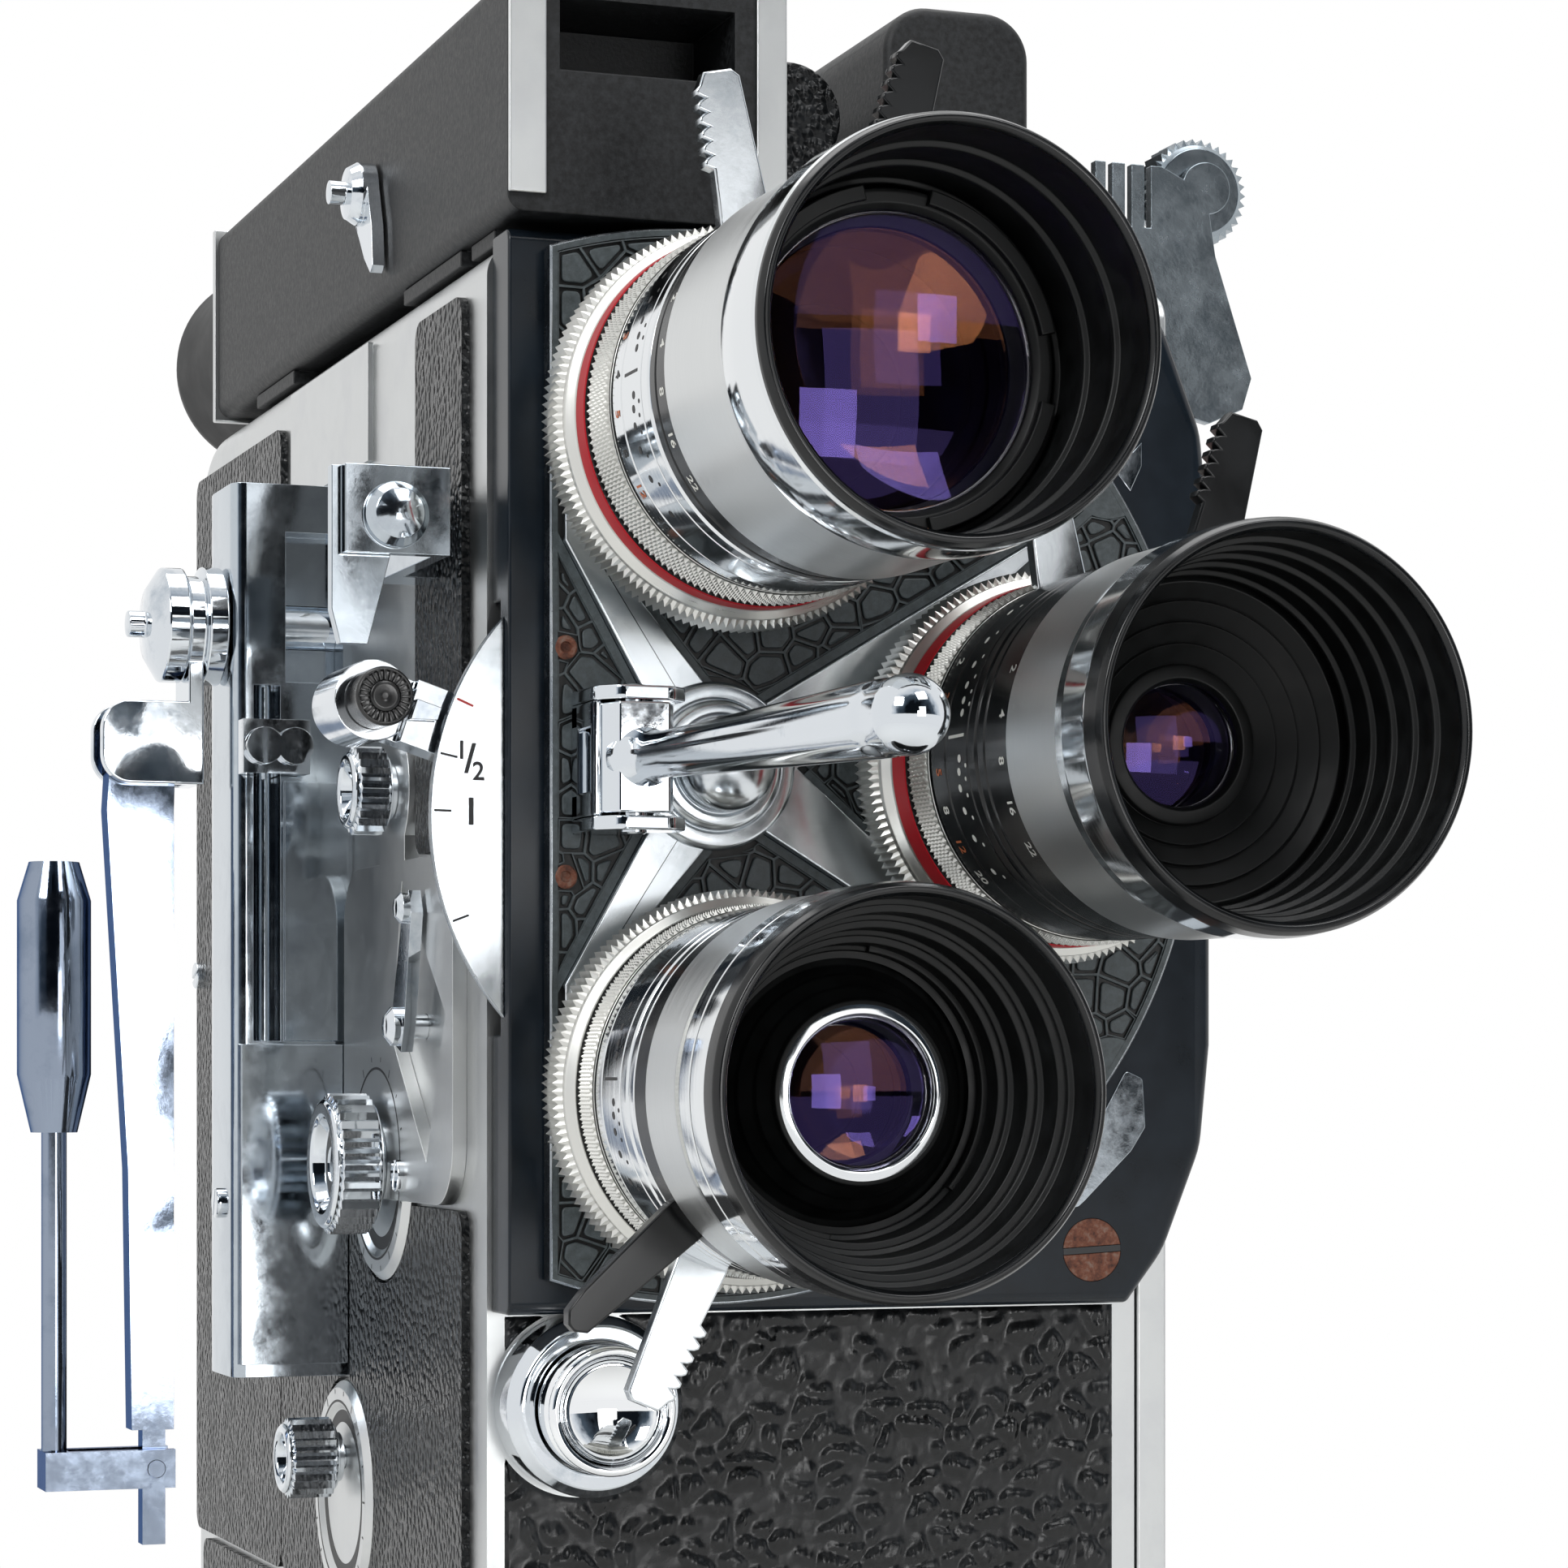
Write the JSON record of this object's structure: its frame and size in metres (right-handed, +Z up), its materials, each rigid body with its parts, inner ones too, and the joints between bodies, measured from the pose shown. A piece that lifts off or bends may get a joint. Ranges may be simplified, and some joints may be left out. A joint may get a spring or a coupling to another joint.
{
  "type": "spring-wound movie camera",
  "caption": "Hand-held cine camera with a lens turret, variable shutter lever, fade unit, folding winding crank, top finder, reflex finder and lift-off film door.",
  "frame": {"origin": "mouth of the tripod socket, in the middle of the underside of the base plate", "axes": "+X towards the film door, +Y to the rear, away from the lenses, +Z up"},
  "size_m": [0.1156, 0.2208, 0.2232],
  "materials": {
    "satin_aluminium": "satin",
    "black_enamel": "semi-gloss",
    "chrome": "polished",
    "black_leather": "pebbled",
    "steel": "brushed",
    "lens_black": "matt",
    "lens_glass": "coated",
    "black_rubber": "matt",
    "brass": "turned"
  },
  "bodies": {
    "case": {"base_plate": "steel", "body_casting": "satin_aluminium", "carrying_handle": "black_leather", "case_screws": "steel", "control_plates": "chrome", "fader_bracket": "chrome", "fader_housing": "chrome", "film_gate": "steel", "finder_eyecup": "black_rubber", "finder_housing": "black_enamel", "finder_trim": "satin_aluminium", "front_plate": "black_enamel", "leather_panels": "black_leather", "mechanism_plate": "steel", "reflex_housing": "satin_aluminium", "release_collar": "chrome", "shutter_scale": "chrome"},
    "turret": {"turret_disc": "black_enamel", "turret_star": "chrome", "lever_bracket": "chrome", "front_glasses": "lens_glass", "lens_barrel_top": "satin_aluminium", "lens_barrel_right": "satin_aluminium", "lens_barrel_bottom": "satin_aluminium", "lens_hood_top": "satin_aluminium", "lens_hood_right": "satin_aluminium", "lens_hood_bottom": "satin_aluminium"},
    "door": {"film_door": "satin_aluminium", "door_leather": "black_leather", "accessory_bracket": "chrome"},
    "turret_lever": {"turret_lever": "chrome"},
    "release_button": {"release_button": "chrome"},
    "shutter_lever": {"shutter_lever": "chrome"},
    "shutter_knob": {"shutter_knob": "lens_black"},
    "fader_carriage": {"fader_carriage": "chrome"},
    "crank_hub": {"crank_hub": "chrome"},
    "crank_arm": {"crank_arm": "chrome"},
    "crank_grip": {"crank_grip": "chrome"},
    "counter_knob": {"counter_knob": "chrome"},
    "speed_knob": {"speed_knob": "chrome"},
    "clutch_knob": {"clutch_knob": "chrome"},
    "selector_lever": {"selector_lever": "steel"},
    "finder_lever": {"finder_lever": "chrome"},
    "reflex_eyepiece": {"reflex_eyepiece": "black_rubber"},
    "door_latch_upper": {"door_latch_upper": "chrome"},
    "door_latch_lower": {"door_latch_lower": "chrome"},
    "thumbwheel": {"thumbwheel": "steel"},
    "spring_barrel": {"spring_barrel": "brass"},
    "sprocket_upper": {"sprocket_upper": "steel"},
    "sprocket_lower": {"sprocket_lower": "steel"},
    "supply_spindle": {"supply_spindle": "steel"},
    "takeup_spindle": {"takeup_spindle": "steel"},
    "pressure_plate": {"pressure_plate": "steel"},
    "shutter_disc": {"shutter_disc": "black_enamel"},
    "focus_ring_top": {"focus_ring_top": "satin_aluminium"},
    "focus_ring_right": {"focus_ring_right": "satin_aluminium"},
    "focus_ring_bottom": {"focus_ring_bottom": "satin_aluminium"},
    "iris_ring_top": {"iris_ring_top": "lens_black"},
    "iris_ring_right": {"iris_ring_right": "lens_black"},
    "iris_ring_bottom": {"iris_ring_bottom": "lens_black"}
  },
  "joints": [
    {"name": "turret_turn", "type": "hinge", "parent": "case", "child": "turret", "pos_m": [-0.0154, -0.072, 0.1475], "axis": [0, 1, 0], "continuous": true},
    {"name": "turret_lever_fold", "type": "hinge", "parent": "turret", "child": "turret_lever", "pos_m": [-0.0249, -0.08, 0.1475], "axis": [0, 0, 1], "range_deg": [-75, 12]},
    {"name": "release_press", "type": "slide", "parent": "case", "child": "release_button", "axis": [0, 1, 0], "range_m": [0, 0.003], "stiffness_N_per_m": 300, "springref_m": -0.002},
    {"name": "shutter_lever_turn", "type": "hinge", "parent": "case", "child": "shutter_lever", "pos_m": [-0.0134, -0.066, 0.1427], "axis": [0, -1, 0], "range_deg": [0, 44]},
    {"name": "shutter_knob_turn", "type": "hinge", "parent": "shutter_lever", "child": "shutter_knob", "pos_m": [-0.04568, -0.068, 0.15338], "axis": [0, 1, 0], "range_deg": [0, 180]},
    {"name": "fader_slide", "type": "slide", "parent": "case", "child": "fader_carriage", "axis": [0, 0, -1], "range_m": [0, 0.024]},
    {"name": "crank_turn", "type": "hinge", "parent": "case", "child": "crank_hub", "pos_m": [0, -0.008, 0.166], "axis": [1, 0, 0], "continuous": true},
    {"name": "crank_arm_fold", "type": "hinge", "parent": "crank_hub", "child": "crank_arm", "pos_m": [-0.0559, -0.008, 0.1535], "axis": [0, 1, 0], "range_deg": [0, 90]},
    {"name": "crank_grip_fold", "type": "hinge", "parent": "crank_arm", "child": "crank_grip", "pos_m": [-0.0547, -0.008, 0.078], "axis": [0, 1, 0], "range_deg": [-90, 0]},
    {"name": "counter_turn", "type": "hinge", "parent": "case", "child": "counter_knob", "pos_m": [-0.036, -0.036, 0.1472], "axis": [1, 0, 0], "continuous": true},
    {"name": "speed_turn", "type": "hinge", "parent": "case", "child": "speed_knob", "pos_m": [-0.036, -0.0297, 0.11], "axis": [1, 0, 0], "range_deg": [-150, 150]},
    {"name": "clutch_turn", "type": "hinge", "parent": "case", "child": "clutch_knob", "pos_m": [-0.036, -0.014, 0.079], "axis": [1, 0, 0], "continuous": true},
    {"name": "selector_turn", "type": "hinge", "parent": "case", "child": "selector_lever", "pos_m": [-0.036, -0.0441, 0.1237], "axis": [1, 0, 0], "range_deg": [-20, 20]},
    {"name": "finder_lever_turn", "type": "hinge", "parent": "case", "child": "finder_lever", "pos_m": [-0.035, -0.0247, 0.2089], "axis": [1, 0, 0], "range_deg": [-60, 60]},
    {"name": "eyepiece_focus", "type": "hinge", "parent": "case", "child": "reflex_eyepiece", "pos_m": [0.0142, 0.05, 0.2137], "axis": [0, 1, 0], "range_deg": [-60, 60]},
    {"name": "door_lift", "type": "slide", "parent": "case", "child": "door", "axis": [1, 0, 0], "range_m": [0, 0.025]},
    {"name": "latch_upper_turn", "type": "hinge", "parent": "door", "child": "door_latch_upper", "pos_m": [0.0347, 0, 0.1735], "axis": [1, 0, 0], "range_deg": [0, 90]},
    {"name": "latch_lower_turn", "type": "hinge", "parent": "door", "child": "door_latch_lower", "pos_m": [0.0347, 0, 0.0395], "axis": [1, 0, 0], "range_deg": [0, 90]},
    {"name": "thumbwheel_turn", "type": "hinge", "parent": "door", "child": "thumbwheel", "pos_m": [0.0415, -0.058, 0.2079], "axis": [0, 1, 0], "continuous": true},
    {"name": "barrel_turn", "type": "hinge", "parent": "case", "child": "spring_barrel", "pos_m": [0, -0.008, 0.166], "axis": [1, 0, 0], "continuous": true},
    {"name": "sprocket_upper_turn", "type": "hinge", "parent": "case", "child": "sprocket_upper", "pos_m": [0, -0.0414, 0.1785], "axis": [1, 0, 0], "continuous": true},
    {"name": "sprocket_lower_turn", "type": "hinge", "parent": "case", "child": "sprocket_lower", "pos_m": [0, -0.0414, 0.1165], "axis": [1, 0, 0], "continuous": true},
    {"name": "supply_turn", "type": "hinge", "parent": "case", "child": "supply_spindle", "pos_m": [0, 0.0164, 0.1476], "axis": [1, 0, 0], "continuous": true},
    {"name": "takeup_turn", "type": "hinge", "parent": "case", "child": "takeup_spindle", "pos_m": [0, 0.0164, 0.0551], "axis": [1, 0, 0], "continuous": true},
    {"name": "pressure_lift", "type": "slide", "parent": "case", "child": "pressure_plate", "axis": [0, 1, 0], "range_m": [0, 0.0025], "stiffness_N_per_m": 150, "springref_m": -0.001},
    {"name": "shutter_disc_turn", "type": "hinge", "parent": "case", "child": "shutter_disc", "pos_m": [0.007, -0.06, 0.1355], "axis": [0, 1, 0], "continuous": true},
    {"name": "focus_turn_top", "type": "hinge", "parent": "turret", "child": "focus_ring_top", "pos_m": [-0.0154, -0.09, 0.1775], "axis": [0, 1, 0], "range_deg": [-50, 30]},
    {"name": "iris_turn_top", "type": "hinge", "parent": "turret", "child": "iris_ring_top", "pos_m": [-0.0154, -0.105, 0.1775], "axis": [0, 1, 0], "range_deg": [-50, 30]},
    {"name": "focus_turn_right", "type": "hinge", "parent": "turret", "child": "focus_ring_right", "pos_m": [0.0146, -0.09, 0.1475], "axis": [0, 1, 0], "range_deg": [-10, 50]},
    {"name": "iris_turn_right", "type": "hinge", "parent": "turret", "child": "iris_ring_right", "pos_m": [0.0146, -0.105, 0.1475], "axis": [0, 1, 0], "range_deg": [-10, 50]},
    {"name": "focus_turn_bottom", "type": "hinge", "parent": "turret", "child": "focus_ring_bottom", "pos_m": [-0.0154, -0.09, 0.1175], "axis": [0, 1, 0], "range_deg": [-40, 40]},
    {"name": "iris_turn_bottom", "type": "hinge", "parent": "turret", "child": "iris_ring_bottom", "pos_m": [-0.0154, -0.105, 0.1175], "axis": [0, 1, 0], "range_deg": [-40, 40]}
  ],
  "couplings": [
    {"joint": "fader_slide", "follows": "shutter_lever_turn", "m_per_rad": 0.031252},
    {"joint": "sprocket_upper_turn", "follows": "shutter_disc_turn", "ratio": 0.125},
    {"joint": "sprocket_lower_turn", "follows": "shutter_disc_turn", "ratio": 0.125},
    {"joint": "supply_turn", "follows": "shutter_disc_turn", "ratio": 0.0625},
    {"joint": "takeup_turn", "follows": "shutter_disc_turn", "ratio": 0.0625}
  ]
}
